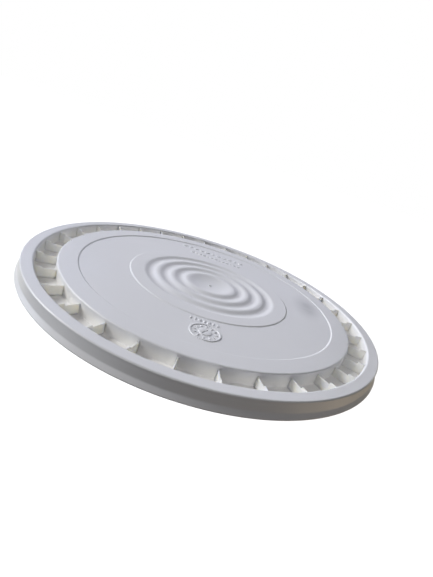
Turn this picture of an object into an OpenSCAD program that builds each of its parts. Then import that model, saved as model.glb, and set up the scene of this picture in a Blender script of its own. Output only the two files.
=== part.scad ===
// Press-on lid for a round pail: a stiff moulded disc with a ribbed gutter round it, a hollow rim
// that drops over the pail's lip, and a separate rubber seal ring in the roof of that rim.
// The moulding is drawn as the zones that its maker would name. They meet face to face.
// The origin is on the lid's axis, in the plane that the foot of the skirt stands on.

/* [Overall] */
// Outside diameter of the rim at its top
rim_d = 310; // [306:1:316]
// Height from the foot of the skirt to the top of the rim
lid_h = 12.2; // [12:0.1:14]
// Thickness of the panel and of the upright walls
wall = 1.9; // [1.6:0.1:2.2]
// Radius of the rounded top edges
edge_r = 1.1; // [0.6:0.1:1.4]
// Radius of the rim's rounded edge beside the gutter
rim_inner_r = 1.6; // [1:0.1:1.6]
// How far the rim's top slopes down towards the gutter
rim_fall = 0.3; // [0:0.1:0.3]

/* [Panel] */
// Outside diameter of the raised panel
panel_d = 260; // [256:1:262]
// Diameter inside which the panel steps down
recess_d = 229; // [220:1:240]
// Diameter of the slightly raised centre
plateau_d = 146; // [136:1:150]
// Height of the step down from the panel's border
recess_step = 0.6; // [0.2:0.05:0.8]
// Height of the step up to the centre
plateau_step = 0.55; // [0.2:0.05:0.7]

/* [Ripples] */
// Number of rings round the centre dish
ripple_count = 3; // [2:1:3]
// Distance from one ring to the next
ripple_pitch = 13.3; // [11:0.1:13.8]
// Height of a ring from its trough to its crest
ripple_depth = 1.3; // [0.6:0.1:1.6]
// Diameter of the crest round the centre dish
dish_d = 43.6; // [40:0.2:50]
// Depth of the centre dish below that crest
dish_depth = 2.4; // [1:0.1:3]

/* [Gutter] */
// Outside diameter of the gutter between the panel and the rim
gutter_d = 291; // [289:1:293]
// Depth of the gutter below the top of the rim
gutter_depth = 10.2; // [9:0.1:10.4]
// Thickness of the gutter's floor
floor_t = 1.6; // [1.2:0.1:1.6]
// Number of ribs across the gutter
rib_count = 32; // [24:1:40]
// Thickness of a rib
rib_t = 1; // [0.8:0.1:1.6]
// Drop from the top of the rim to the top of a rib
rib_drop = 3.1; // [2:0.1:4]
// Drop from the top of the rim to the top of a rib's shoulder
shoulder_drop = 1.5; // [1:0.1:1.8]
// Length of a rib's shoulder, measured in from the rim
shoulder_len = 5.2; // [3:0.1:7]

/* [Rim] */
// Thickness of the rim's flat top
flange_t = 2; // [1.8:0.1:2.2]
// How far the skirt leans out above its flare
skirt_lean = 0.4; // [0:0.1:0.8]
// Height of the flare at the foot of the skirt
flare_h = 4; // [3:0.1:4]
// How far the foot of the skirt stands out from the rim
flare_out = 2.1; // [1.4:0.1:2.4]
// Number of snap beads inside the skirt
bead_count = 16; // [8:4:24]
// Angle that one snap bead covers, in degrees
bead_arc = 9; // [6:1:11]
// How far a snap bead stands in from the skirt
bead_h = 1.2; // [0.8:0.1:1.2]

/* [Seal] */
// Width of the seal ring's section
seal_w = 3.4; // [2.8:0.1:3.4]
// Height of the seal ring's section
seal_h = 3; // [2.4:0.1:3.2]

/* [Raised marks] */
// Height that the marks stand up from the panel
mark_h = 0.45; // [0.2:0.05:0.5]
// Diameter of the mould date wheel
wheel_d = 23; // [18:1:26]
// Number of ticks in the date wheel
wheel_ticks = 12; // [4:1:24]
// Number of bars in the row by the date wheel
near_bar_count = 7; // [1:1:7]
// Number of bars in the large far row
far_large_count = 11; // [1:1:11]
// Number of bars in the small far row
far_small_count = 13; // [1:1:13]

/* [Hidden] */
$fn = 96;

plastic = [0.86, 0.865, 0.885];
rubber = [0.33, 0.34, 0.35];

rim_r = rim_d / 2;
panel_r = panel_d / 2;
recess_r = recess_d / 2;
plateau_r = plateau_d / 2;
dish_r = dish_d / 2;
gutter_r = gutter_d / 2;
ripple_r = dish_r + ripple_count * ripple_pitch;
recess_z = lid_h - recess_step;
plateau_z = recess_z + plateau_step;
floor_z = lid_h - gutter_depth;
floor_under_z = floor_z - floor_t;
flange_under_z = lid_h - flange_t;

// The plug is the spigot that the pail's mouth goes round, and the land above it holds the seal.
plug_r = gutter_r + wall;
plug_chamfer = 0.6;
land_step = 0.9;
land_h = 3.2;
land_r = plug_r + land_step;
land_z = flange_under_z - land_h;

// The skirt hangs from the rim, and its foot is a flat ring.
skirt_in_r = rim_r - wall;
foot_r = rim_r + flare_out;
foot_h = 0.8;
foot_w = 1.6;
foot_in_r = foot_r - foot_w;
lead_in_z = 3;

// A bead's sloped section, measured up from the flare.
bead_low = 0.4;
bead_slope = 0.8;
bead_land = 0.5;

// The seal has a thin running gap round its land and under the flange.
seal_gap = 0.05;
seal_round = 1.2;

// The dish is a bowl with a flat spot for the gate and a rounded lip.
gate_flat_r = 2.5;
gate_r = 1.5;
gate_taper = 0.4;
gate_h = 0.7;
gate_pit_r = 0.5;
lip_share = 0.18;
bowl_steps = 10;
ripple_steps = 10;
arc_steps = 8;

// Places of the marks on the recessed panel, as [x, y].
wheel_at = [10, -93];
near_row_at = [7, -78];
far_large_at = [-11, 95];
far_small_at = [-6, 80];

// The date wheel's ring, ticks and hub, and the pointer cut into the hub.
wheel_r = wheel_d / 2;
wheel_ring_w = 1.2;
tick_size = [2.4, 0.8];
tick_r = wheel_r - 3.6;
hub_r = 0.4 * wheel_r;
pointer_size = [0.6 * wheel_r, 1.2];
pointer_turn = 60;

// Bars of each row: distance between centres, height along Y, and widths along X that repeat in order.
near_pitch = 3.4;
near_h = 3.6;
near_widths = [1.1, 1.1, 2, 1.1, 2];
far_large_pitch = 6.6;
far_large_h = 5.2;
far_large_widths = [4.8, 2.4, 4.8, 4.8];
far_small_pitch = 4.4;
far_small_h = 3;
far_small_widths = [3.4, 1.4, 3.4];

// Number of sides of the marks' circles, which are small and plain.
bar_end_fn = 24;
wheel_fn = 64;

// Height of the bowl above its lowest point, as a share of its depth, at a share s of its radius.
function bowl_share(s) =
    s < 1 - lip_share ? s * s / (1 - lip_share) : 1 - (1 - s) * (1 - s) / lip_share;

// Share of the ripple depth at a place along the ripples, in pitches: crests and troughs are plain curves
// that meet half way down each slope.
function ripple_share(s) =
    let (part = s - floor(s), slope = 1 - abs(2 * part - 1))
    slope < 0.5 ? 2 * slope * slope : 1 - 2 * (1 - slope) * (1 - slope);

// Height of the rippled centre at radius r.
function ripple_z(r) =
    r <= gate_flat_r ? plateau_z - dish_depth
    : r < dish_r
    ? plateau_z - dish_depth * (1 - bowl_share((r - gate_flat_r) / (dish_r - gate_flat_r)))
    : plateau_z - ripple_depth * ripple_share((r - dish_r) / ripple_pitch);

// Points of a quarter-circle edge about [cx, cz], from angle a0 to angle a1.
function edge_arc(cx, cz, r, a0, a1) =
    [for (i = [0 : arc_steps]) let (a = a0 + (a1 - a0) * i / arc_steps) [cx + r * cos(a), cz + r * sin(a)]];

// A flat ring of the lid between two radii and two heights.
module ring(r_in, r_out, z_low, z_high) {
    rotate_extrude() translate([r_in, z_low]) square([r_out - r_in, z_high - z_low]);
}

// A flat bar with round ends, w along X and h along Y, centred on the origin.
module round_bar(w, h) {
    end_r = min(w, h) / 2;
    square([w > h ? w - 2 * end_r : w, w > h ? h : h - 2 * end_r], center = true);
    for (s = [-1, 1]) {
        translate(w > h ? [s * (w / 2 - end_r), 0] : [0, s * (h / 2 - end_r)])
            circle(end_r, $fn = bar_end_fn);
    }
}

// A row of bars along X on the recessed panel, centred at a point.
module bar_row(at, count, pitch, widths, h) {
    for (i = [0 : count - 1]) {
        translate([at[0] + (i - (count - 1) / 2) * pitch, at[1], recess_z])
            linear_extrude(mark_h) round_bar(widths[i % len(widths)], h);
    }
}

// The small stub that the moulding gate leaves at the centre, with its pit.
module gate_nipple() {
    color(plastic) translate([0, 0, plateau_z - dish_depth]) difference() {
        cylinder(r1 = gate_r, r2 = gate_r - gate_taper, h = gate_h);
        translate([0, 0, gate_h / 2]) cylinder(r = gate_pit_r, h = gate_h);
    }
}

// The centre dish and the rings round it, pressed from a sheet of even thickness.
module ripple_dish() {
    bowl_r = [for (i = [0 : bowl_steps]) gate_flat_r + (dish_r - gate_flat_r) * i / bowl_steps];
    ring_r = [for (i = [1 : ripple_count * ripple_steps]) dish_r + ripple_pitch * i / ripple_steps];
    radii = concat([0], bowl_r, ring_r);
    top = [for (r = radii) [r, ripple_z(r)]];
    under = [for (i = [len(radii) - 1 : -1 : 0]) [radii[i], ripple_z(radii[i]) - wall]];
    color(plastic) rotate_extrude() polygon(concat(top, under));
}

// The flat centre that the rings lie in.
module centre_plateau() {
    color(plastic) ring(ripple_r, plateau_r, plateau_z - wall, plateau_z);
}

// The broad flat of the panel, a little lower than its border.
module recessed_panel() {
    color(plastic) ring(plateau_r, recess_r, recess_z - wall, recess_z);
}

// The panel's raised border, level with the rim.
module raised_panel() {
    color(plastic) ring(recess_r, panel_r - wall, lid_h - wall, lid_h);
}

// The upright wall from the panel down to the gutter, with a rounded top edge.
module panel_wall() {
    profile = concat(
        [[panel_r - wall, floor_under_z], [panel_r, floor_under_z]],
        edge_arc(panel_r - edge_r, lid_h - edge_r, edge_r, 0, 90),
        [[panel_r - wall, lid_h]]
    );
    color(plastic) rotate_extrude() polygon(profile);
}

// The floor of the gutter.
module gutter_floor() {
    color(plastic) ring(panel_r, gutter_r, floor_under_z, floor_z);
}

// The ribs across the gutter, each with a raised shoulder at the rim.
module radial_ribs() {
    shoulder_r = gutter_r - shoulder_len;
    rib_z = lid_h - rib_drop;
    shoulder_z = lid_h - shoulder_drop;
    side = [
        [panel_r - wall, floor_z], [gutter_r + wall, floor_z], [gutter_r + wall, shoulder_z],
        [shoulder_r, shoulder_z], [shoulder_r, rib_z], [panel_r - wall, rib_z]
    ];
    color(plastic) intersection() {
        ring(panel_r, gutter_r, floor_z, lid_h);
        union() {
            for (i = [0 : rib_count - 1]) {
                rotate([90, 0, i * 360 / rib_count]) linear_extrude(rib_t, center = true) polygon(side);
            }
        }
    }
}

// The gutter's outer wall. Its outside is the spigot for the pail's mouth, under the seal's land.
module plug_wall() {
    profile = [
        [gutter_r, floor_under_z], [plug_r - plug_chamfer, floor_under_z],
        [plug_r, floor_under_z + plug_chamfer], [plug_r, land_z],
        [land_r, land_z], [land_r, flange_under_z], [gutter_r, flange_under_z]
    ];
    color(plastic) rotate_extrude() polygon(profile);
}

// The rim's flat top, rounded at both edges.
module rim_flange() {
    profile = concat(
        [[gutter_r, flange_under_z], [rim_r, flange_under_z]],
        edge_arc(rim_r - edge_r, lid_h - edge_r, edge_r, 0, 90),
        edge_arc(gutter_r + rim_inner_r, lid_h - rim_fall - rim_inner_r, rim_inner_r, 90, 180)
    );
    color(plastic) rotate_extrude() polygon(profile);
}

// The skirt that hangs outside the pail's lip.
module skirt() {
    profile = [
        [skirt_in_r, flare_h], [rim_r + skirt_lean, flare_h],
        [rim_r, flange_under_z], [skirt_in_r, flange_under_z]
    ];
    color(plastic) rotate_extrude() polygon(profile);
}

// The flared foot of the skirt, which the lid stands on, with a sloped lead-in for the lip.
module skirt_flare() {
    profile = [
        [foot_in_r, 0], [foot_r, 0], [foot_r, foot_h],
        [rim_r + skirt_lean, flare_h], [skirt_in_r, flare_h], [skirt_in_r, lead_in_z]
    ];
    color(plastic) rotate_extrude() polygon(profile);
}

// Short beads inside the skirt that catch under the pail's lip.
module snap_beads() {
    tip_r = skirt_in_r - bead_h;
    low_z = flare_h + bead_low;
    profile = [
        [skirt_in_r, low_z], [tip_r, low_z + bead_slope], [tip_r, low_z + bead_slope + bead_land],
        [skirt_in_r, low_z + 2 * bead_slope + bead_land]
    ];
    color(plastic) for (i = [0 : bead_count - 1]) {
        rotate((i + 0.5) * 360 / bead_count - bead_arc / 2)
            rotate_extrude(angle = bead_arc) polygon(profile);
    }
}

// A plain date wheel without figures: a ring, a circle of ticks, and a hub with a pointer cut in it.
module mould_date_wheel() {
    color(plastic) translate([wheel_at[0], wheel_at[1], recess_z]) linear_extrude(mark_h) {
        difference() {
            circle(wheel_r, $fn = wheel_fn);
            circle(wheel_r - wheel_ring_w, $fn = wheel_fn);
        }
        for (i = [0 : wheel_ticks - 1]) {
            rotate(i * 360 / wheel_ticks) translate([tick_r, 0]) round_bar(tick_size[0], tick_size[1]);
        }
        difference() {
            circle(hub_r, $fn = wheel_fn);
            rotate(pointer_turn) round_bar(pointer_size[0], pointer_size[1]);
        }
    }
}

// A short row of plain bars between the centre and the date wheel.
module near_bars() {
    color(plastic) bar_row(near_row_at, near_bar_count, near_pitch, near_widths, near_h);
}

// The larger row of plain bars on the far side of the panel.
module far_bars_large() {
    color(plastic) bar_row(far_large_at, far_large_count, far_large_pitch, far_large_widths, far_large_h);
}

// The smaller row of plain bars on the far side of the panel.
module far_bars_small() {
    color(plastic) bar_row(far_small_at, far_small_count, far_small_pitch, far_small_widths, far_small_h);
}

// The rubber seal: flat where it grips its land and the flange, rounded on its free corner.
module seal_ring() {
    in_r = land_r + seal_gap;
    out_r = in_r + seal_w;
    top_z = flange_under_z - seal_gap;
    low_z = top_z - seal_h;
    profile = concat(
        [[in_r, top_z], [in_r, low_z]],
        edge_arc(out_r - seal_round, low_z + seal_round, seal_round, -90, 0),
        [[out_r, top_z]]
    );
    color(rubber) rotate_extrude() polygon(profile);
}

gate_nipple();
ripple_dish();
centre_plateau();
recessed_panel();
raised_panel();
panel_wall();
gutter_floor();
radial_ribs();
plug_wall();
rim_flange();
skirt();
skirt_flare();
snap_beads();
mould_date_wheel();
near_bars();
far_bars_large();
far_bars_small();
seal_ring();
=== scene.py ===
"""A press-on lid for a round pail, lying top up on a plain pale floor.

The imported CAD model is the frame. Each of its nodes is replaced by a finer mesh of the same zone of the
moulding, with the fillets, draft, flared roots and mould detail that the CAD leaves plain. Shapes are worked
out in millimetres and turned into metres where the mesh is made."""

import math

import bmesh
import bpy
from mathutils import Matrix, Vector


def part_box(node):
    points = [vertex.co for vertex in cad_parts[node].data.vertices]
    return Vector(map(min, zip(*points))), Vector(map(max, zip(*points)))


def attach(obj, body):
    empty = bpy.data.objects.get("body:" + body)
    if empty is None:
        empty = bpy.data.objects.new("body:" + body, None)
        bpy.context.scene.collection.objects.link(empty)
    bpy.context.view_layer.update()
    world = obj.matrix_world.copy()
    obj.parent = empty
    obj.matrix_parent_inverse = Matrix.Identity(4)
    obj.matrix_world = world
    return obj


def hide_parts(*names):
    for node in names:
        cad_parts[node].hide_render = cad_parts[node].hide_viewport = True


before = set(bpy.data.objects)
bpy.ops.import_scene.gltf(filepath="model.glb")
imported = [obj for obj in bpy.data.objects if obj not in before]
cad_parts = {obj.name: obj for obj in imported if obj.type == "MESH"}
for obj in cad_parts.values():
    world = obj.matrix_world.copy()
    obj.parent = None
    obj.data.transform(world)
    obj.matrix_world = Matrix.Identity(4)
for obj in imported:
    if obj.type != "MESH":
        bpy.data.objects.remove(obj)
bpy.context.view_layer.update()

MM = 0.001
SEGMENTS = 512  # round the lid: a multiple of the numbers of ribs and snap beads
SHARP_ANGLE = math.radians(40)
MARK_SHARP_ANGLE = math.radians(50)


# ---------------------------------------------------------------- sizes, in millimetres


def reach(node):
    """Outer radius of a round CAD node."""
    return round(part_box(node)[1].x / MM, 2)


def top(node):
    return round(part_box(node)[1].z / MM, 2)


def bottom(node):
    return round(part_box(node)[0].z / MM, 2)


WALL = 1.9
EDGE_R = 1.1  # rounded top edges of the rim and of the panel
RIM_INNER_R = 1.6  # the rim is rounder on the gutter's side
RIM_FALL = 0.3  # and its top slopes down a little towards it
RIM_R = reach("rim_flange")
LID_H = top("rim_flange")
FLANGE_UNDER = bottom("rim_flange")
PANEL_R = reach("raised_panel") + WALL
PANEL_IN_R = reach("raised_panel")
RECESS_R = reach("recessed_panel")
RECESS_Z = top("recessed_panel")
PLATEAU_R = reach("centre_plateau")
PLATEAU_Z = top("centre_plateau")
GUTTER_R = reach("gutter_floor")
FLOOR_Z = top("gutter_floor")
FLOOR_UNDER = bottom("gutter_floor")
FOOT_R = reach("skirt_flare")

# The moulding's steps are short slopes with soft ends, and its inside corners are filleted.
STEP_W = 1.1
STEP_R = 0.6
CORNER_R = 0.9
TIGHT_R = 0.25

# The centre: a bowl with a rounded lip, a flat spot in it with the gate's nipple, and a train of rings.
DISH_R = 21.8
DISH_DEPTH = 2.4
GATE_FLAT_R = 2.5
GATE_FOOT_R = 1.5
GATE_TOP_R = 1.15
GATE_H = 0.7
GATE_PIT_R = 0.5
GATE_PIT_Z = 0.3
GATE_PIT_DRAFT = 0.08
LIP_SHARE = 0.18
RIPPLE_COUNT = 3
RIPPLE_PITCH = 13.3
RIPPLE_DEPTH = 1.3
RIPPLE_R = DISH_R + RIPPLE_COUNT * RIPPLE_PITCH
RIPPLE_STEPS = 20
BOWL_STEPS = 16

# The plug wall goes inside the pail's mouth, and the land above it holds the seal.
PLUG_R = GUTTER_R + WALL
PLUG_CHAMFER = 0.6
LAND_R = reach("plug_wall")
LAND_Z = 7.0

# The skirt leans out a little and ends in a flared foot.
SKIRT_IN_R = RIM_R - WALL
SKIRT_LEAN = 0.4
FLARE_TOP = 4.0
FLARE_FILLET = 2.4
FLARE_START = 5.6  # the visual flare takes in the soft curve above it
FOOT_H = 0.8
FOOT_W = 1.6
FOOT_EDGE_R = 0.35
LEAD_IN_Z = 3.0

# The ribs across the gutter.
RIB_COUNT = 32
RIB_TOP_T = 0.8
RIB_ROOT_T = 1.2
RIB_Z = 9.1
RIB_EDGE_R = 0.25
RIB_FLARE = 0.6  # fillet at the rib's root and ends
SHOULDER_Z = top("radial_ribs")
SHOULDER_R = 140.3
SHOULDER_RISE = 0.7  # length over which the shoulder steps up
BURY = 0.3  # how far a rib or mark goes into the surface that it stands on

# The snap beads inside the skirt.
BEAD_COUNT = 16
BEAD_ARC = 9.0
BEAD_TIP_R = 151.9
BEAD_LOW = bottom("snap_beads")
BEAD_HIGH = top("snap_beads")

# The seal ring, with a groove in its underside.
SEAL_W = 3.4
SEAL_GROOVE = 0.45
SEAL_GROOVE_HALF_W = 0.5

# Raised marks: plain bars and a date wheel without figures. A row of bars has a middle (x, y), a number of
# bars, their pitch, the widths that repeat along the row, and their height across it.
MARK_H = 0.45
MARK_EDGE = 0.1
WHEEL_AT = (10, -93)
WHEEL_R = 11.5
WHEEL_HUB_R = 4.6
WHEEL_RING_W = 1.2
TICK_COUNT = 12
TICK_R = 7.9
TICK_SIZE = (2.4, 0.8)
POINTER_SIZE = (6.9, 1.2)
POINTER_TURN = 60
NEAR_ROW = ((7, -78), 7, 3.4, (1.1, 1.1, 2, 1.1, 2), 3.6)
FAR_ROW_LARGE = ((-11, 95), 11, 6.6, (4.8, 2.4, 4.8, 4.8), 5.2)
FAR_ROW_SMALL = ((-6, 80), 13, 4.4, (3.4, 1.4, 3.4), 3)


# ---------------------------------------------------------------- outlines


def rounded(corners, turn_steps=7, hold=0.12):
    """A closed outline from corners (radius, height, corner radius). A rounded corner gets an arc, with a
    holding point beside each end so that the flats next to it stay flat in smooth shading."""
    points = []
    count = len(corners)
    for i, (x, y, round_r) in enumerate(corners):
        here = Vector((x, y))
        before = Vector(corners[i - 1][:2])
        after = Vector(corners[(i + 1) % count][:2])
        if round_r == 0:
            points.append((x, y))
            continue
        inward = (here - before).normalized()
        outward = (after - here).normalized()
        turn = math.atan2(inward.cross(outward), inward.dot(outward))
        reach_back = round_r * math.tan(abs(turn) / 2)
        start = here - inward * reach_back
        side = Vector((-inward.y, inward.x)) * math.copysign(1, turn)
        centre = start + side * round_r
        steps = max(2, round(turn_steps * abs(turn) / (math.pi / 2)))
        points.append(tuple(start - inward * hold))
        for k in range(steps + 1):
            spoke = Matrix.Rotation(turn * k / steps, 2) @ (start - centre)
            points.append(tuple(centre + spoke))
        end = here + outward * reach_back
        points.append(tuple(end + outward * hold))
    return points


def bowl_share(s):
    """Height of the bowl above its lowest point, as a share of its depth, at a share s of its radius."""
    if s < 1 - LIP_SHARE:
        return s * s / (1 - LIP_SHARE)
    return 1 - (1 - s) * (1 - s) / LIP_SHARE


def ripple_share(s):
    """Share of the ripple depth at a place along the ripples, in pitches."""
    slope = 1 - abs(2 * (s % 1) - 1)
    if slope < 0.5:
        return 2 * slope * slope
    return 1 - 2 * (1 - slope) * (1 - slope)


def ripple_z(r):
    """Height of the rippled centre at radius r."""
    if r <= GATE_FLAT_R:
        return PLATEAU_Z - DISH_DEPTH
    if r < DISH_R:
        return PLATEAU_Z - DISH_DEPTH * (1 - bowl_share((r - GATE_FLAT_R) / (DISH_R - GATE_FLAT_R)))
    return PLATEAU_Z - RIPPLE_DEPTH * ripple_share((r - DISH_R) / RIPPLE_PITCH)


# ---------------------------------------------------------------- mesh makers


def finish_mesh(name, points, faces):
    """A piece from points in millimetres and faces, smooth but for its sharp edges."""
    mesh = bpy.data.meshes.new(name)
    mesh.from_pydata([(x * MM, y * MM, z * MM) for x, y, z in points], [], faces)
    mesh.validate()
    mesh.shade_smooth()
    mesh.set_sharp_from_angle(angle=SHARP_ANGLE)
    piece = bpy.data.objects.new(name, mesh)
    bpy.context.scene.collection.objects.link(piece)
    return piece


def grid_faces(rows, columns, start=0, wrap_rows=False):
    """Quads of a grid of points laid out row by row from an index, closed round its columns."""
    faces = []
    last = rows if wrap_rows else rows - 1
    for row in range(last):
        here = start + row * columns
        there = start + (row + 1) % rows * columns
        for column in range(columns):
            beside = (column + 1) % columns
            faces.append((here + column, here + beside, there + beside, there + column))
    return faces


def lathe(name, outline, segments=SEGMENTS):
    """A closed solid of revolution about the lid's axis, from a closed outline of (radius, height) points
    that runs counter-clockwise. An outline that meets the axis starts and ends there."""
    on_axis = outline[0][0] == 0
    rings = outline[1:-1] if on_axis else outline
    points = []
    for r, z in rings:
        for i in range(segments):
            angle = 2 * math.pi * i / segments
            points.append((r * math.cos(angle), r * math.sin(angle), z))
    faces = grid_faces(len(rings), segments, wrap_rows=not on_axis)
    if on_axis:
        low = len(points)
        points.append((0, 0, outline[0][1]))
        points.append((0, 0, outline[-1][1]))
        last = (len(rings) - 1) * segments
        for i in range(segments):
            j = (i + 1) % segments
            faces.append((low, j, i))
            faces.append((low + 1, last + i, last + j))
    return finish_mesh(name, points, faces)


def fillet_rise(distance, radius):
    """How far a fillet stands up at a distance from the wall that it climbs."""
    if distance >= radius:
        return 0
    return radius - math.sqrt(radius**2 - (radius - distance) ** 2)


def smooth(t):
    t = min(1, max(0, t))
    return t * t * (3 - 2 * t)


# ---------------------------------------------------------------- the moulding, zone by zone


def make_gate():
    base = PLATEAU_Z - DISH_DEPTH
    foot = (GATE_FOOT_R, base - BURY)
    side = [
        (*foot, 0),
        (GATE_TOP_R, base + GATE_H, 0.25),
        (GATE_PIT_R, base + GATE_H, 0.08),
        (GATE_PIT_R - GATE_PIT_DRAFT, base + GATE_PIT_Z, 0.1),
    ]
    outline = [(0, base - BURY), foot, *rounded(side)[1:], (0, base + GATE_PIT_Z)]
    return lathe("gate_nipple_mesh", outline, segments=64)


def make_ripples():
    radii = [GATE_FLAT_R * k / 3 for k in range(4)]
    radii += [GATE_FLAT_R + (DISH_R - GATE_FLAT_R) * (k + 1) / BOWL_STEPS for k in range(BOWL_STEPS)]
    ring_steps = RIPPLE_COUNT * RIPPLE_STEPS
    radii += [DISH_R + (RIPPLE_R - DISH_R) * (k + 1) / ring_steps for k in range(ring_steps)]
    under = [(r, ripple_z(r) - WALL) for r in radii]
    upper = [(r, ripple_z(r)) for r in reversed(radii)]
    return lathe("ripple_dish_mesh", under + upper, segments=SEGMENTS // 2)


def make_plateau():
    low = PLATEAU_Z - WALL
    corners = [
        (RIPPLE_R, low, 0),
        (PLATEAU_R + STEP_W / 2, low, 0),
        (PLATEAU_R + STEP_W / 2, RECESS_Z, 0),
        (PLATEAU_R - STEP_W / 2, PLATEAU_Z, STEP_R),
        (RIPPLE_R, PLATEAU_Z, 0),
    ]
    return lathe("centre_plateau_mesh", rounded(corners))


def make_recess():
    low = RECESS_Z - WALL
    r_in = PLATEAU_R + STEP_W / 2
    r_out = RECESS_R - STEP_W / 2
    return lathe("recessed_panel_mesh", [(r_in, low), (r_out, low), (r_out, RECESS_Z), (r_in, RECESS_Z)])


def make_border():
    low = LID_H - WALL
    corners = [
        (RECESS_R - STEP_W / 2, low - (LID_H - RECESS_Z), 0),
        (RECESS_R + STEP_W / 2, low, STEP_R),
        (PANEL_IN_R - CORNER_R, low, 0),
        (PANEL_IN_R, low - CORNER_R, 0),
        (PANEL_IN_R, LID_H, 0),
        (RECESS_R + STEP_W / 2, LID_H, STEP_R),
        (RECESS_R - STEP_W / 2, RECESS_Z, 0),
    ]
    return lathe("raised_panel_mesh", rounded(corners))


def make_panel_wall():
    corners = [
        (PANEL_IN_R, FLOOR_UNDER, TIGHT_R),
        (PANEL_R, FLOOR_UNDER, 0),
        (PANEL_R, LID_H, EDGE_R),
        (PANEL_IN_R, LID_H, 0),
    ]
    return lathe("panel_wall_mesh", rounded(corners))


def make_gutter_floor():
    climb = CORNER_R * 1.2
    corners = [
        (PANEL_R, FLOOR_UNDER, 0),
        (GUTTER_R, FLOOR_UNDER, 0),
        (GUTTER_R, FLOOR_Z + climb, 0),
        (GUTTER_R - 0.02, FLOOR_Z, CORNER_R),
        (PANEL_R + 0.02, FLOOR_Z, CORNER_R),
        (PANEL_R, FLOOR_Z + climb, 0),
    ]
    return lathe("gutter_floor_mesh", rounded(corners))


def rib_section(r):
    """Points (across, height) of a rib's cross-section at radius r, from its left foot to its right foot."""
    inner_gap = r - PANEL_R
    outer_gap = GUTTER_R - r
    rise = (SHOULDER_Z - RIB_Z) * smooth((r - SHOULDER_R + SHOULDER_RISE / 2) / SHOULDER_RISE)
    flare = fillet_rise(max(0, inner_gap), RIB_FLARE) + fillet_rise(max(0, outer_gap), RIB_FLARE)
    crest = RIB_Z + rise + min(flare, LID_H - EDGE_R - SHOULDER_Z)
    half_top = RIB_TOP_T / 2 + flare
    half_root = RIB_ROOT_T / 2 + flare
    steps = 4
    side = [(half_root + RIB_FLARE, FLOOR_Z - BURY)]
    for k in range(steps + 1):
        angle = math.pi / 2 * k / steps
        y = half_root + RIB_FLARE * (1 - math.sin(angle))
        side.append((y, FLOOR_Z + RIB_FLARE * (1 - math.cos(angle))))
    side.append((half_top + 0.02, crest - RIB_EDGE_R - 0.1))
    for k in range(steps + 1):
        angle = math.pi / 2 * k / steps
        y = half_top - RIB_EDGE_R * (1 - math.cos(angle))
        side.append((y, crest - RIB_EDGE_R * (1 - math.sin(angle))))
    return [(-y, z) for y, z in side] + [(y, z) for y, z in reversed(side)]


def rib_stations():
    """Radii of a rib's cross-sections: close together at its ends and at its shoulder."""
    near_wall = [PANEL_R - BURY] + [PANEL_R + RIB_FLARE * k / 4 for k in range(5)]
    shoulder_from = SHOULDER_R - SHOULDER_RISE * 0.6
    plain = [PANEL_R + 1.5, (PANEL_R + shoulder_from) / 2, shoulder_from - 0.4]
    shoulder = [shoulder_from + SHOULDER_RISE * 1.2 * k / 8 for k in range(9)]
    near_rim = [GUTTER_R - RIB_FLARE * k / 4 for k in range(4, -1, -1)] + [GUTTER_R + BURY]
    return near_wall + plain + shoulder + [GUTTER_R - 2] + near_rim


def make_ribs():
    stations = rib_stations()
    sections = [rib_section(r) for r in stations]
    columns = len(sections[0])
    points = []
    faces = []
    for i in range(RIB_COUNT):
        angle = 2 * math.pi * i / RIB_COUNT
        start = len(points)
        cos = math.cos(angle)
        sin = math.sin(angle)
        for r, section in zip(stations, sections):
            points += [(r * cos - y * sin, r * sin + y * cos, z) for y, z in section]
        quads = grid_faces(len(stations), columns, start)
        faces += [tuple(reversed(quad)) for quad in quads]
        faces.append(tuple(range(start, start + columns)))
        last = start + (len(stations) - 1) * columns
        faces.append(tuple(range(last + columns - 1, last - 1, -1)))
    return finish_mesh("radial_ribs_mesh", points, faces)


def make_plug_wall():
    corners = [
        (GUTTER_R, FLOOR_UNDER, 0),
        (PLUG_R - PLUG_CHAMFER, FLOOR_UNDER, TIGHT_R),
        (PLUG_R, FLOOR_UNDER + PLUG_CHAMFER, TIGHT_R),
        (PLUG_R, LAND_Z, 0.3),
        (LAND_R, LAND_Z, TIGHT_R),
        (LAND_R, FLANGE_UNDER, 0),
        (GUTTER_R, FLANGE_UNDER, 0),
    ]
    return lathe("plug_wall_mesh", rounded(corners))


def make_flange():
    corners = [
        (GUTTER_R, FLANGE_UNDER, 0),
        (RIM_R, FLANGE_UNDER, 0),
        (RIM_R, LID_H, EDGE_R),
        (GUTTER_R, LID_H - RIM_FALL, RIM_INNER_R),
    ]
    return lathe("rim_flange_mesh", rounded(corners))


def skirt_outer_r(z):
    return RIM_R + SKIRT_LEAN * (FLANGE_UNDER - z) / (FLANGE_UNDER - FLARE_TOP)


def make_skirt():
    corners = [
        (SKIRT_IN_R, FLARE_START, 0),
        (skirt_outer_r(FLARE_START), FLARE_START, 0),
        (RIM_R, FLANGE_UNDER, 0),
        (SKIRT_IN_R - CORNER_R, FLANGE_UNDER, 0),
        (SKIRT_IN_R - CORNER_R * 0.3, FLANGE_UNDER - CORNER_R * 0.3, 0.6),
        (SKIRT_IN_R, FLANGE_UNDER - CORNER_R, 0),
    ]
    return lathe("skirt_mesh", rounded(corners))


def make_flare():
    corners = [
        (FOOT_R - FOOT_W, 0, FOOT_EDGE_R),
        (FOOT_R, 0, FOOT_EDGE_R),
        (FOOT_R, FOOT_H, FOOT_EDGE_R),
        (skirt_outer_r(FLARE_TOP), FLARE_TOP, FLARE_FILLET),
        (skirt_outer_r(FLARE_START), FLARE_START, 0),
        (SKIRT_IN_R, FLARE_START, 0),
        (SKIRT_IN_R, LEAD_IN_Z, 0.8),
    ]
    return lathe("skirt_flare_mesh", rounded(corners))


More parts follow.
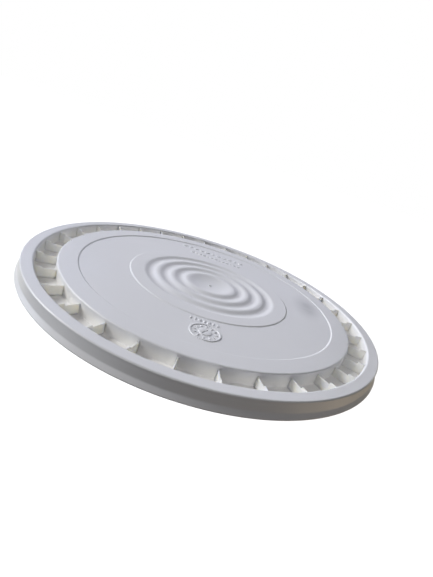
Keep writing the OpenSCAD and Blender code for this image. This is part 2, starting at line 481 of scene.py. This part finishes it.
def make_beads():
    """Short rounded beads, each a loft along its arc that rises and falls at its ends."""
    across = 9
    along = 25
    middle = (BEAD_LOW + BEAD_HIGH) / 2
    half_h = (BEAD_HIGH - BEAD_LOW) / 2
    stand = SKIRT_IN_R - BEAD_TIP_R
    points = []
    faces = []
    for i in range(BEAD_COUNT):
        start = len(points)
        centre = (i + 0.5) * 360 / BEAD_COUNT
        for station in range(along):
            t = 2 * station / (along - 1) - 1
            swell = math.sqrt(max(0, 1 - t**4))
            angle = math.radians(centre + t * BEAD_ARC / 2)
            for k in range(across):
                u = math.pi * k / (across - 1)
                r = SKIRT_IN_R - stand * swell * math.sin(u) ** 0.8
                z = middle - half_h * math.cos(u)
                points.append((r * math.cos(angle), r * math.sin(angle), z))
            for z in (BEAD_HIGH, BEAD_LOW):
                r = SKIRT_IN_R + BURY
                points.append((r * math.cos(angle), r * math.sin(angle), z))
        columns = across + 2
        quads = grid_faces(along, columns, start)
        faces += [tuple(reversed(quad)) for quad in quads]
        faces.append(tuple(range(start, start + columns)))
        last = start + (along - 1) * columns
        faces.append(tuple(range(last + columns - 1, last - 1, -1)))
    return finish_mesh("snap_beads_mesh", points, faces)


# ---------------------------------------------------------------- raised marks


def bar_loop(x, y, w, h, turn=0, end_steps=8):
    """A flat bar's outline with round ends, centred on a point and turned by an angle in degrees."""
    end_r = min(w, h) / 2
    shift = max(w, h) / 2 - end_r
    base = 0 if w > h else 90
    loop = []
    for side in (0, 180):
        for k in range(end_steps + 1):
            angle = math.radians(side - 90 + 180 * k / end_steps)
            flip = 1 if side == 0 else -1
            loop.append(Vector((flip * shift + end_r * math.cos(angle), end_r * math.sin(angle))))
    turning = Matrix.Rotation(math.radians(base + turn), 2)
    return [turning @ p + Vector((x, y)) for p in loop]


def circle_loop(x, y, r, steps=96):
    return [
        Vector((x + r * math.cos(2 * math.pi * k / steps), y + r * math.sin(2 * math.pi * k / steps)))
        for k in range(steps)
    ]


def raised_marks(name, loops):
    """Closed solids that stand up from the recessed panel with softly rounded edges. A loop inside
    another is a hole. They are filled flat curves with a bevel, turned into one mesh."""
    curve = bpy.data.curves.new(name, "CURVE")
    curve.dimensions = "2D"
    curve.fill_mode = "BOTH"
    body_h = MARK_H + BURY - 2 * MARK_EDGE
    curve.extrude = body_h / 2 * MM
    curve.bevel_depth = MARK_EDGE * MM
    curve.bevel_resolution = 2
    curve.offset = -MARK_EDGE * MM
    for loop in loops:
        spline = curve.splines.new("POLY")
        spline.points.add(len(loop) - 1)
        spline.use_cyclic_u = True
        for point, place in zip(spline.points, loop):
            point.co = (place.x * MM, place.y * MM, 0, 1)
    holder = bpy.data.objects.new(name + "_curve", curve)
    bpy.context.scene.collection.objects.link(holder)
    depsgraph = bpy.context.evaluated_depsgraph_get()
    mesh = bpy.data.meshes.new_from_object(holder.evaluated_get(depsgraph), depsgraph=depsgraph)
    bpy.data.objects.remove(holder)
    bpy.data.curves.remove(curve)
    work = bmesh.new()
    work.from_mesh(mesh)
    bmesh.ops.remove_doubles(work, verts=work.verts, dist=0.005 * MM)
    bmesh.ops.translate(work, verts=work.verts, vec=(0, 0, (RECESS_Z + (MARK_H - BURY) / 2) * MM))
    bmesh.ops.recalc_face_normals(work, faces=work.faces)
    work.to_mesh(mesh)
    work.free()
    mesh.name = name
    mesh.shade_smooth()
    mesh.set_sharp_from_angle(angle=MARK_SHARP_ANGLE)
    piece = bpy.data.objects.new(name, mesh)
    bpy.context.scene.collection.objects.link(piece)
    return piece


def bar_row(name, middle, count, pitch, widths, h):
    x, y = middle
    first = x - (count - 1) / 2 * pitch
    loops = [bar_loop(first + i * pitch, y, widths[i % len(widths)], h) for i in range(count)]
    return raised_marks(name, loops)


def make_near_bars():
    return bar_row("near_bars_mesh", *NEAR_ROW)


def make_far_bars_large():
    return bar_row("far_bars_large_mesh", *FAR_ROW_LARGE)


def make_far_bars_small():
    return bar_row("far_bars_small_mesh", *FAR_ROW_SMALL)


def make_wheel():
    x, y = WHEEL_AT
    loops = [circle_loop(x, y, WHEEL_R), circle_loop(x, y, WHEEL_R - WHEEL_RING_W)]
    for i in range(TICK_COUNT):
        turn = 360 * i / TICK_COUNT
        angle = math.radians(turn)
        loops.append(bar_loop(x + TICK_R * math.cos(angle), y + TICK_R * math.sin(angle), *TICK_SIZE, turn))
    loops.append(circle_loop(x, y, WHEEL_HUB_R))
    loops.append(bar_loop(x, y, *POINTER_SIZE, POINTER_TURN))
    return raised_marks("mould_date_wheel_mesh", loops)


# ---------------------------------------------------------------- the seal


def make_seal():
    out_r = reach("seal_ring")
    in_r = out_r - SEAL_W
    low = bottom("seal_ring")
    high = top("seal_ring")
    middle = (in_r + out_r) / 2
    corners = [
        (in_r, low, TIGHT_R),
        (middle - SEAL_GROOVE_HALF_W, low, 0.3),
        (middle, low + SEAL_GROOVE, 0.3),
        (middle + SEAL_GROOVE_HALF_W, low, 0.3),
        (out_r, low, 1.0),
        (out_r, high, TIGHT_R),
        (in_r, high, TIGHT_R),
    ]
    return lathe("seal_ring_mesh", rounded(corners))


# ---------------------------------------------------------------- materials

# Colours of the moulding, of dust, of painted light and shade in the gutter and on the ribs, and of a painted
# shade spot.
PLASTIC_LOW = (0.885, 0.89, 0.9)
PLASTIC_HIGH = (0.905, 0.91, 0.92)
PLASTIC_WARM = (0.895, 0.895, 0.9)
GUTTER_PAINTED_LIGHT = (0.97, 0.962, 0.935)  # painted light: the gutter's corners are coloured lighter, standing in for light that comes through its thin walls
RIB_PAINTED_SHADE = (0.84, 0.835, 0.79)  # the ribs: painted shade, darker and warmer, standing in for light that passes through them instead of bouncing off
DUST = (0.76, 0.745, 0.69)
# painted shade: the colour of a soft dark spot on the recessed panel
SHADE_SPOT_COLOUR = (0.62, 0.625, 0.64)
ROUGH_LOW = 0.28
ROUGH_HIGH = 0.38

# How far light goes into the thin ribs, in metres, and the share of it for each colour.
GLOW_DEPTH = 0.0022
GLOW_RADIUS = (1.0, 0.95, 0.8)

# Painted shade: a soft dark spot on the recessed panel, in metres. The last value is its width as a share of
# its length.
SHADE_SPOT_PLACE = (0.095, 0.027, 0.0116)
SHADE_SPOT_R = 0.017
SHADE_SPOT_NARROW = 0.45

RUBBER_DARK = (0.035, 0.036, 0.038)
RUBBER_BLOOM = (0.07, 0.072, 0.075)


class Graph:
    """A material's or world's node tree, built by short calls. Inputs are given by name, or by place where a
    node has two of one name; a value is a constant, and a node or socket is linked."""

    def __init__(self, tree):
        self.tree = tree
        tree.nodes.clear()

    def add(self, kind, inputs=None, **settings):
        node = self.tree.nodes.new(kind)
        for key, value in settings.items():
            setattr(node, key, value)
        for key, value in (inputs or {}).items():
            self.feed(node.inputs[key], value)
        return node

    def feed(self, socket, value):
        """Links a socket to a node or to another socket, or sets its constant."""
        if isinstance(value, bpy.types.Node):
            value = value.outputs[0]
        if isinstance(value, bpy.types.NodeSocket):
            self.tree.links.new(value, socket)
        else:
            socket.default_value = value

    def math(self, operation, a, b=0.0, clamp=False):
        node = self.add("ShaderNodeMath", {0: a, 1: b}, operation=operation, use_clamp=clamp)
        return node.outputs[0]

    def noise(self, place, scale, detail=2.0, roughness=0.5):
        inputs = {"Vector": place, "Scale": scale, "Detail": detail, "Roughness": roughness}
        return self.add("ShaderNodeTexNoise", inputs).outputs["Fac"]

    def ramp(self, value, low, high, to_low=0.0, to_high=1.0):
        inputs = {"Value": value, "From Min": low, "From Max": high, "To Min": to_low, "To Max": to_high}
        return self.add("ShaderNodeMapRange", inputs, interpolation_type="SMOOTHSTEP").outputs["Result"]

    def mix(self, share, a, b):
        """A mix of two colours."""
        node = self.add("ShaderNodeMix", data_type="RGBA")
        self.feed(node.inputs[0], share)
        for socket, value in ((node.inputs[6], a), (node.inputs[7], b)):
            self.feed(socket, (*value, 1) if isinstance(value, tuple) else value)
        return node.outputs[2]

    def bump(self, height, distance, strength=1.0, under=None):
        inputs = {"Height": height, "Distance": distance, "Strength": strength}
        if under:
            inputs["Normal"] = under
        return self.add("ShaderNodeBump", inputs)


def lid_plastic():
    """Satin white moulded polyolefin: faint clouding and flow lines from the gate, a painted shade spot, walls
    in the gutter painted lighter where light comes through them, a trace of dust in the gutter, ribs that let
    light through and carry painted shade, darker and warmer, and light scuffs over a fine grain."""
    material = bpy.data.materials.new("lid_plastic")
    material.use_nodes = True
    g = Graph(material.node_tree)
    place = g.add("ShaderNodeTexCoord").outputs["Object"]
    flat_place = g.add("ShaderNodeVectorMath", {0: place, 1: (1, 1, 0)}, operation="MULTIPLY")
    from_gate = g.add("ShaderNodeVectorMath", {0: flat_place}, operation="NORMALIZE")
    distance = g.add("ShaderNodeVectorMath", {0: flat_place}, operation="LENGTH").outputs["Value"]

    clouds = g.noise(place, 16, 4)
    mottle = g.noise(place, 420, 3, 0.6)
    outwards = g.math("MULTIPLY", distance, 6)
    flow_place = g.add("ShaderNodeVectorMath", {0: from_gate, 1: outwards}, operation="ADD")
    streaks = g.noise(flow_place, 9, 5, 0.7)

    tone = g.mix(g.ramp(clouds, 0.3, 0.7), PLASTIC_LOW, PLASTIC_HIGH)
    tone = g.mix(g.ramp(mottle, 0.35, 0.65, 0, 0.25), tone, PLASTIC_LOW)
    tone = g.mix(g.ramp(streaks, 0.45, 0.75, 0, 0.3), tone, PLASTIC_WARM)

    # Painted shade: a soft dark spot, patchy at its edge, mixed into the colour on the recessed panel.
    from_shade_spot = g.add("ShaderNodeVectorMath", {0: place, 1: SHADE_SPOT_PLACE}, operation="SUBTRACT")
    stretched = g.add("ShaderNodeVectorMath", {0: from_shade_spot, 1: (1, SHADE_SPOT_NARROW, 1)}, operation="MULTIPLY")
    shade_spot_at = g.add("ShaderNodeVectorMath", {0: stretched}, operation="LENGTH").outputs["Value"]
    patchy = g.ramp(g.noise(place, 60, 2), 0.3, 0.7, 0.6, 1)
    shade_spot = g.math("MULTIPLY", g.ramp(shade_spot_at, SHADE_SPOT_R, 0), patchy)
    tone = g.mix(shade_spot, tone, SHADE_SPOT_COLOUR)

    # Painted light: the gutter's corners are coloured lighter, standing in for light through the thin walls.
    # The same mask also lays a trace of dust.
    corners = g.add("ShaderNodeAttribute", attribute_name="corner").outputs["Fac"]
    tone = g.mix(g.math("MULTIPLY", corners, 2, clamp=True), tone, GUTTER_PAINTED_LIGHT)
    # Painted shade on the ribs: a darker, warmer colour standing in for light that passes through them. The
    # same mask sets their subsurface weight.
    thin = g.add("ShaderNodeAttribute", attribute_name="thin").outputs["Fac"]
    tone = g.mix(g.math("MULTIPLY", thin, g.ramp(mottle, 0.3, 0.7, 0.85, 1)), tone, RIB_PAINTED_SHADE)
    dusting = g.math("MULTIPLY", corners, g.ramp(g.noise(place, 260, 4, 0.65), 0.45, 0.8, 0, 0.25))
    tone = g.mix(dusting, tone, DUST)

    long_way = {"Vector": place, "Rotation": (0, 0, 0.6), "Scale": (1, 0.04, 1)}
    scratch_place = g.add("ShaderNodeMapping", long_way)
    scratches = g.ramp(g.noise(scratch_place, 900, 2, 0.4), 0.66, 0.74)
    worn = g.ramp(g.noise(place, 45, 3), 0.42, 0.68)
    scuffs = g.math("MULTIPLY", scratches, worn)

    gloss = g.ramp(g.noise(place, 34, 5, 0.6), 0.25, 0.75, ROUGH_LOW, ROUGH_HIGH)
    gloss = g.math("ADD", gloss, g.math("MULTIPLY", scuffs, 0.06))
    gloss = g.math("ADD", gloss, g.math("MULTIPLY", dusting, 0.2), clamp=True)

    waves = g.bump(g.noise(place, 55, 2), 0.00006)
    grain = g.bump(g.noise(place, 2600, 2, 0.6), 0.000012, under=waves)
    marked = g.bump(scuffs, 0.000004, 0.3, under=grain)

    inputs = {
        "Base Color": tone,
        "Roughness": gloss,
        "Normal": marked,
        "IOR": 1.5,
        "Subsurface Weight": thin,
        "Subsurface Radius": GLOW_RADIUS,
        "Subsurface Scale": GLOW_DEPTH,
    }
    shader = g.add("ShaderNodeBsdfPrincipled", inputs)
    g.add("ShaderNodeOutputMaterial", {"Surface": shader})
    return material


def seal_rubber():
    """Matt dark rubber with a fine grain, bloom in patches and dust specks."""
    material = bpy.data.materials.new("seal_rubber")
    material.use_nodes = True
    g = Graph(material.node_tree)
    place = g.add("ShaderNodeTexCoord").outputs["Object"]
    tone = g.mix(g.ramp(g.noise(place, 60, 4, 0.6), 0.3, 0.7), RUBBER_DARK, RUBBER_BLOOM)
    specks = g.ramp(g.noise(place, 1500, 1), 0.72, 0.8, 0, 0.5)
    tone = g.mix(specks, tone, DUST)
    gloss = g.ramp(g.noise(place, 120, 3), 0.3, 0.7, 0.55, 0.75)
    grain = g.bump(g.noise(place, 1800, 3, 0.6), 0.00003)
    inputs = {"Base Color": tone, "Roughness": gloss, "Normal": grain, "IOR": 1.52}
    shader = g.add("ShaderNodeBsdfPrincipled", inputs)
    g.add("ShaderNodeOutputMaterial", {"Surface": shader})
    return material


# ---------------------------------------------------------------- the object


def store_values(piece, name, value_at):
    """Stores a value at each vertex, found from its radius and height, for the material to read."""
    layer = piece.data.attributes.new(name, "FLOAT", "POINT")
    for value, vertex in zip(layer.data, piece.data.vertices):
        x, y, z = vertex.co / MM
        value.value = value_at(math.hypot(x, y), z)


def gutter_corner(r, z):
    """1 near the gutter's floor, fading towards its top and, less, away from its walls."""
    if not PANEL_R - 0.5 < r < GUTTER_R + 0.5:
        return 0
    low = smooth(1 - (z - FLOOR_Z) / 9)
    wall_gap = min(abs(r - PANEL_R), abs(GUTTER_R - r))
    return low * (0.5 + 0.5 * smooth(1 - wall_gap / 2.5))


def full_share(r, z):
    return 1


def no_share(r, z):
    return 0


# Each piece of the lid: its node, its maker and how far its points lie in the gutter's corners.
LID_PIECES = [
    ("gate_nipple", make_gate, no_share),
    ("ripple_dish", make_ripples, no_share),
    ("centre_plateau", make_plateau, no_share),
    ("recessed_panel", make_recess, no_share),
    ("raised_panel", make_border, no_share),
    ("panel_wall", make_panel_wall, gutter_corner),
    ("gutter_floor", make_gutter_floor, gutter_corner),
    ("radial_ribs", make_ribs, gutter_corner),
    ("plug_wall", make_plug_wall, gutter_corner),
    ("rim_flange", make_flange, gutter_corner),
    ("skirt", make_skirt, no_share),
    ("skirt_flare", make_flare, no_share),
    ("snap_beads", make_beads, no_share),
    ("mould_date_wheel", make_wheel, no_share),
    ("near_bars", make_near_bars, no_share),
    ("far_bars_large", make_far_bars_large, no_share),
    ("far_bars_small", make_far_bars_small, no_share),
]


def place_piece(piece, node, body, material):
    piece.data.materials.append(material)
    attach(piece, body)
    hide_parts(node)


def make_object():
    plastic = lid_plastic()
    for node, make, corner_share in LID_PIECES:
        piece = make()
        store_values(piece, "corner", corner_share)
        store_values(piece, "thin", full_share if node == "radial_ribs" else no_share)
        place_piece(piece, node, "lid", plastic)
    place_piece(make_seal(), "seal_ring", "seal", seal_rubber())


# ---------------------------------------------------------------- camera, floor and light

# The camera stands low over the near side of the lid and leans to one side. Lengths are in millimetres.
LENS = 23.16
SENSOR = 36
CAMERA_TURN = math.radians(0.63)
CAMERA_ELEVATION = math.radians(20.52)
CAMERA_ROLL = math.radians(19.02)
CAMERA_DISTANCE = 331.3
CAMERA_TARGET = Vector((6.62, -7.65, LID_H))

FLOOR_SHINE = 1.05
FLOOR_HALF_WIDTH = 6.0

# Round panels that face the lid: azimuth, elevation, width in metres, power in watts and colour. Those under
# the floor light the skirt and the underside.
LIGHT_DISTANCE = 3.5
LIGHTS = {
    "key": (182, 30, 1.6, 84, (1.0, 1.0, 1.0)),
    "key_low": (180, 5, 2.2, 21, (0.88, 0.97, 1.15)),
    "left": (135, 30, 2.8, 23, (0.84, 0.92, 1.24)),
    "left_low": (135, 5, 2.2, 46, (1.08, 0.99, 0.93)),
    "left_under": (135, -30, 2.8, 13, (1.03, 1.03, 0.94)),
    "right_low": (45, 5, 2.2, 14, (1.0, 1.03, 0.96)),
    "far": (90, 22, 2.8, 13, (0.94, 0.97, 1.18)),
    "near": (275, 55, 2.8, 18, (1.0, 0.98, 1.02)),
    "near_under": (290, -20, 2.8, 7.5, (1.04, 0.99, 0.95)),
    "right_under": (0, -30, 2.8, 13, (1.27, 1.02, 0.71)),
    "far_right_under": (45, -30, 2.8, 6, (1.2, 1.03, 0.76)),
    "below": (0, -89, 1.2, 35, (1.0, 1.0, 1.0)),
}
NOT_MIRRORED = ("left_low",)  # fills that the plastic doesn't reflect


def make_camera():
    data = bpy.data.cameras.new("camera")
    data.sensor_fit = "AUTO"
    data.sensor_width = SENSOR
    data.lens = LENS
    data.clip_start = 0.01
    data.clip_end = 50
    camera = bpy.data.objects.new("camera", data)
    bpy.context.scene.collection.objects.link(camera)
    forward = Vector((0, math.cos(CAMERA_ELEVATION), -math.sin(CAMERA_ELEVATION)))
    right = Vector((1, 0, 0))
    up = right.cross(forward)
    leaning_right = math.cos(CAMERA_ROLL) * right + math.sin(CAMERA_ROLL) * up
    leaning_up = -math.sin(CAMERA_ROLL) * right + math.cos(CAMERA_ROLL) * up
    place = CAMERA_TARGET - forward * CAMERA_DISTANCE
    stand = Matrix((leaning_right, leaning_up, -forward)).transposed().to_4x4()
    stand.translation = place * MM
    camera.matrix_world = Matrix.Rotation(CAMERA_TURN, 4, "Z") @ stand
    bpy.context.scene.camera = camera


def make_floor():
    """A wide floor that shines white to the camera. It throws no light or shadow on the lid, so the lid's
    sides stay as dark as they are over a dull ground. From below it is clear."""
    half = FLOOR_HALF_WIDTH
    corners = [(-half, -half, 0), (half, -half, 0), (half, half, 0), (-half, half, 0)]
    mesh = bpy.data.meshes.new("floor")
    mesh.from_pydata(corners, [], [(0, 1, 2, 3)])
    material = bpy.data.materials.new("pale_floor")
    material.use_nodes = True
    g = Graph(material.node_tree)
    pale = g.add("ShaderNodeBsdfDiffuse", {"Color": (0.35, 0.35, 0.35, 1)})
    shine = g.add("ShaderNodeEmission", {"Color": (1, 1, 1, 1), "Strength": FLOOR_SHINE})
    lit = g.add("ShaderNodeAddShader", {0: pale, 1: shine})
    clear = g.add("ShaderNodeBsdfTransparent")
    behind = g.add("ShaderNodeNewGeometry").outputs["Backfacing"]
    shown = g.add("ShaderNodeMixShader", {0: behind, 1: lit, 2: clear})
    g.add("ShaderNodeOutputMaterial", {"Surface": shown})
    mesh.materials.append(material)
    floor = bpy.data.objects.new("floor", mesh)
    bpy.context.scene.collection.objects.link(floor)
    floor.visible_diffuse = False
    floor.visible_glossy = False
    floor.visible_shadow = False


def from_angle(azimuth, elevation):
    """The direction that lies at an azimuth, counted from +X towards +Y, and an elevation, in degrees."""
    a = math.radians(azimuth)
    e = math.radians(elevation)
    return Vector((math.cos(a) * math.cos(e), math.sin(a) * math.cos(e), math.sin(e)))


def add_panel_light(name, azimuth, elevation, size, power, colour):
    data = bpy.data.lights.new(name, "AREA")
    data.shape = "DISK"
    data.size = size
    data.energy = power
    data.color = colour
    light = bpy.data.objects.new(name, data)
    bpy.context.scene.collection.objects.link(light)
    direction = from_angle(azimuth, elevation)
    light.location = direction * LIGHT_DISTANCE
    light.rotation_mode = "QUATERNION"
    light.rotation_quaternion = direction.to_track_quat("Z", "Y")
    light.visible_camera = False
    return light


def make_world():
    """A dark room, which the camera sees as white."""
    world = bpy.data.worlds.new("room")
    bpy.context.scene.world = world
    world.use_nodes = True
    g = Graph(world.node_tree)
    dark = g.add("ShaderNodeBackground", {"Color": (0, 0, 0, 1)})
    seen = g.add("ShaderNodeBackground", {"Color": (1, 1, 1, 1)})
    camera_ray = g.add("ShaderNodeLightPath").outputs["Is Camera Ray"]
    shown = g.add("ShaderNodeMixShader", {0: camera_ray, 1: dark, 2: seen})
    g.add("ShaderNodeOutputWorld", {"Surface": shown})


def make_lights():
    for name, (azimuth, elevation, size, power, colour) in LIGHTS.items():
        lamp = add_panel_light(name, azimuth, elevation, size, power, colour)
        lamp.visible_glossy = name not in NOT_MIRRORED


make_object()
make_camera()
make_floor()
make_world()
make_lights()
bpy.context.scene.view_settings.view_transform = "Standard"
